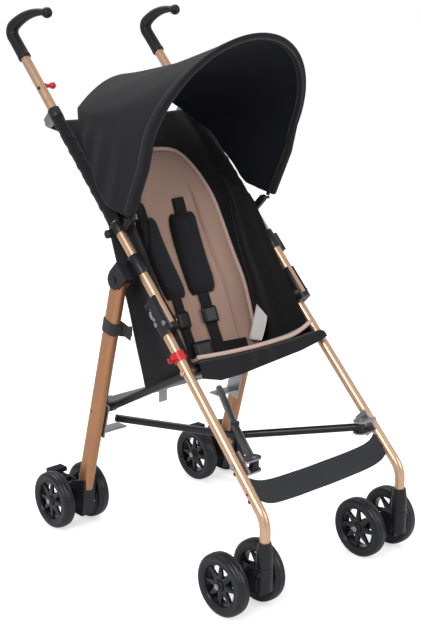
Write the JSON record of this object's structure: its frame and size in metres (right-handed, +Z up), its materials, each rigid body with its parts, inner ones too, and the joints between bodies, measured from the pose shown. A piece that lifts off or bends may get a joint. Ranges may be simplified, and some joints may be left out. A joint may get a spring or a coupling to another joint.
{
  "type": "umbrella stroller",
  "caption": "Lightweight folding umbrella stroller with hooked handles, sling seat, padded liner, harness, canopy, twin-wheel casters, footrest and crossed folding bars.",
  "frame": {"origin": "floor level under the middle of the bounding box", "axes": "+Z up, front towards -Y, +X towards the left side as the child sits"},
  "size_m": [0.506, 0.7799, 1.0396],
  "materials": {
    "champagne": "satin",
    "red_gold": "satin",
    "black_plastic": "satin",
    "grip_foam": "matte",
    "zinc": "satin",
    "black_steel": "satin",
    "red_plastic": "gloss",
    "wheel_plastic": "satin",
    "black_cloth": "matte",
    "taupe_cloth": "matte",
    "slate_cloth": "matte"
  },
  "bodies": {
    "right_side": {"right_handle_tube": "champagne", "right_grip": "grip_foam", "right_pivot_bracket": "black_plastic", "right_brace_bracket": "zinc", "right_canopy_clip": "black_plastic", "right_latch_housing": "black_plastic", "right_front_leg": "champagne", "right_front_x_bracket": "zinc", "right_caster_socket": "black_plastic", "right_rear_leg": "red_gold", "right_rear_bracket": "zinc", "right_rear_hub": "black_plastic", "right_rear_axle": "zinc", "right_seat_tube": "black_steel", "right_leg_strap": "black_cloth", "carry_catch": "red_plastic", "footrest": "slate_cloth", "seat_sling": "black_cloth", "seat_base": "black_cloth", "liner": "taupe_cloth", "harness": "black_cloth"},
    "left_side": {"left_handle_tube": "champagne", "left_grip": "grip_foam", "left_pivot_bracket": "black_plastic", "left_brace_bracket": "zinc", "left_canopy_clip": "black_plastic", "left_latch_housing": "black_plastic", "left_front_leg": "champagne", "left_front_x_bracket": "zinc", "left_caster_socket": "black_plastic", "left_rear_leg": "red_gold", "left_rear_bracket": "zinc", "left_rear_hub": "black_plastic", "left_rear_axle": "zinc", "left_seat_tube": "black_steel", "left_leg_strap": "black_cloth"},
    "canopy": {"canopy_bow": "black_steel", "canopy": "black_cloth"},
    "right_latch_slider": {"right_latch_slider": "zinc"},
    "right_caster": {"right_caster_fork": "black_plastic", "right_front_axle": "zinc"},
    "right_front_wheel_outer": {"right_front_wheel_outer": "wheel_plastic"},
    "right_rear_wheel_outer": {"right_rear_wheel_outer": "wheel_plastic"},
    "right_front_wheel_inner": {"right_front_wheel_inner": "wheel_plastic"},
    "right_rear_wheel_inner": {"right_rear_wheel_inner": "wheel_plastic"},
    "right_brake_pedal": {"right_brake_pedal": "black_plastic"},
    "right_lower_bar": {"right_lower_bar": "black_steel"},
    "right_back_brace": {"right_back_brace": "black_steel"},
    "right_lock_bar": {"right_lock_bar": "zinc"},
    "left_latch_slider": {"left_latch_slider": "zinc"},
    "left_caster": {"left_caster_fork": "black_plastic", "left_front_axle": "zinc"},
    "left_front_wheel_outer": {"left_front_wheel_outer": "wheel_plastic"},
    "left_rear_wheel_outer": {"left_rear_wheel_outer": "wheel_plastic"},
    "left_front_wheel_inner": {"left_front_wheel_inner": "wheel_plastic"},
    "left_rear_wheel_inner": {"left_rear_wheel_inner": "wheel_plastic"},
    "left_brake_pedal": {"left_brake_pedal": "black_plastic"},
    "left_lower_bar": {"left_lower_bar": "black_steel"},
    "left_back_brace": {"left_back_brace": "black_steel"},
    "left_lock_bar": {"left_lock_bar": "zinc"}
  },
  "joints": [
    {"name": "fold", "type": "slide", "parent": "right_side", "child": "left_side", "axis": [1, 0, 0], "range_m": [-0.23, 0], "deforming": ["footrest", "seat_sling", "seat_base", "liner", "harness", "canopy", "canopy_bow"]},
    {"name": "canopy_tilt", "type": "hinge", "parent": "right_side", "child": "canopy", "pos_m": [-0.171, 0.00101, 0.66305], "axis": [1, 0, 0], "range_deg": [0, 15]},
    {"name": "right_latch_slide", "type": "slide", "parent": "right_side", "child": "right_latch_slider", "axis": [0, 0.7009, 0.7133], "range_m": [0, 0.008], "stiffness_N_per_m": 150},
    {"name": "right_caster_swivel", "type": "hinge", "parent": "right_side", "child": "right_caster", "pos_m": [-0.18003, -0.37488, 0.08], "axis": [0, 0, 1], "continuous": true},
    {"name": "right_front_wheel_outer_spin", "type": "hinge", "parent": "right_caster", "child": "right_front_wheel_outer", "pos_m": [-0.18003, -0.31638, 0.05875], "axis": [1, 0, 0], "continuous": true},
    {"name": "right_rear_wheel_outer_spin", "type": "hinge", "parent": "right_side", "child": "right_rear_wheel_outer", "pos_m": [-0.193, 0.1882, 0.05875], "axis": [1, 0, 0], "continuous": true},
    {"name": "right_front_wheel_inner_spin", "type": "hinge", "parent": "right_caster", "child": "right_front_wheel_inner", "pos_m": [-0.18003, -0.31638, 0.05875], "axis": [1, 0, 0], "continuous": true},
    {"name": "right_rear_wheel_inner_spin", "type": "hinge", "parent": "right_side", "child": "right_rear_wheel_inner", "pos_m": [-0.193, 0.1882, 0.05875], "axis": [1, 0, 0], "continuous": true},
    {"name": "right_brake_press", "type": "hinge", "parent": "right_side", "child": "right_brake_pedal", "pos_m": [-0.193, 0.214, 0.084], "axis": [1, 0, 0], "range_deg": [-18, 0]},
    {"name": "right_lower_bar_swing", "type": "hinge", "parent": "right_side", "child": "right_lower_bar", "pos_m": [-0.14, -0.304, 0.262], "axis": [0, 0, 1], "range_deg": [0, 28.89]},
    {"name": "right_back_brace_swing", "type": "hinge", "parent": "right_side", "child": "right_back_brace", "pos_m": [-0.171, 0.25565, 0.8166], "axis": [0, 0.7133, -0.7009], "range_deg": [0, 44.74]},
    {"name": "right_lock_bar_swing", "type": "hinge", "parent": "right_side", "child": "right_lock_bar", "pos_m": [-0.147, 0.12, 0.268], "axis": [0, -1, 0], "range_deg": [0, 77.58]},
    {"name": "left_latch_slide", "type": "slide", "parent": "left_side", "child": "left_latch_slider", "axis": [0, 0.7009, 0.7133], "range_m": [0, 0.008], "stiffness_N_per_m": 150},
    {"name": "left_caster_swivel", "type": "hinge", "parent": "left_side", "child": "left_caster", "pos_m": [0.18003, -0.37488, 0.08], "axis": [0, 0, 1], "continuous": true},
    {"name": "left_front_wheel_outer_spin", "type": "hinge", "parent": "left_caster", "child": "left_front_wheel_outer", "pos_m": [0.18003, -0.31638, 0.05875], "axis": [1, 0, 0], "continuous": true},
    {"name": "left_rear_wheel_outer_spin", "type": "hinge", "parent": "left_side", "child": "left_rear_wheel_outer", "pos_m": [0.193, 0.1882, 0.05875], "axis": [1, 0, 0], "continuous": true},
    {"name": "left_front_wheel_inner_spin", "type": "hinge", "parent": "left_caster", "child": "left_front_wheel_inner", "pos_m": [0.18003, -0.31638, 0.05875], "axis": [1, 0, 0], "continuous": true},
    {"name": "left_rear_wheel_inner_spin", "type": "hinge", "parent": "left_side", "child": "left_rear_wheel_inner", "pos_m": [0.193, 0.1882, 0.05875], "axis": [1, 0, 0], "continuous": true},
    {"name": "left_brake_press", "type": "hinge", "parent": "left_side", "child": "left_brake_pedal", "pos_m": [0.193, 0.214, 0.084], "axis": [1, 0, 0], "range_deg": [-18, 0]},
    {"name": "left_lower_bar_swing", "type": "hinge", "parent": "left_side", "child": "left_lower_bar", "pos_m": [0.14, -0.304, 0.262], "axis": [0, 0, 1], "range_deg": [-28.89, 0]},
    {"name": "left_back_brace_swing", "type": "hinge", "parent": "left_side", "child": "left_back_brace", "pos_m": [0.171, 0.25565, 0.8166], "axis": [0, 0.7133, -0.7009], "range_deg": [-44.74, 0]},
    {"name": "left_lock_bar_swing", "type": "hinge", "parent": "left_side", "child": "left_lock_bar", "pos_m": [0.147, 0.12, 0.268], "axis": [0, -1, 0], "range_deg": [-77.58, 0]}
  ],
  "couplings": [
    {"joint": "right_lower_bar_swing", "follows": "fold", "rad_per_m": -2.1877},
    {"joint": "right_back_brace_swing", "follows": "fold", "rad_per_m": -3.388},
    {"joint": "right_lock_bar_swing", "follows": "fold", "rad_per_m": -5.8754},
    {"joint": "left_lower_bar_swing", "follows": "fold", "rad_per_m": 2.1877},
    {"joint": "left_back_brace_swing", "follows": "fold", "rad_per_m": 3.388},
    {"joint": "left_lock_bar_swing", "follows": "fold", "rad_per_m": 5.8754}
  ]
}
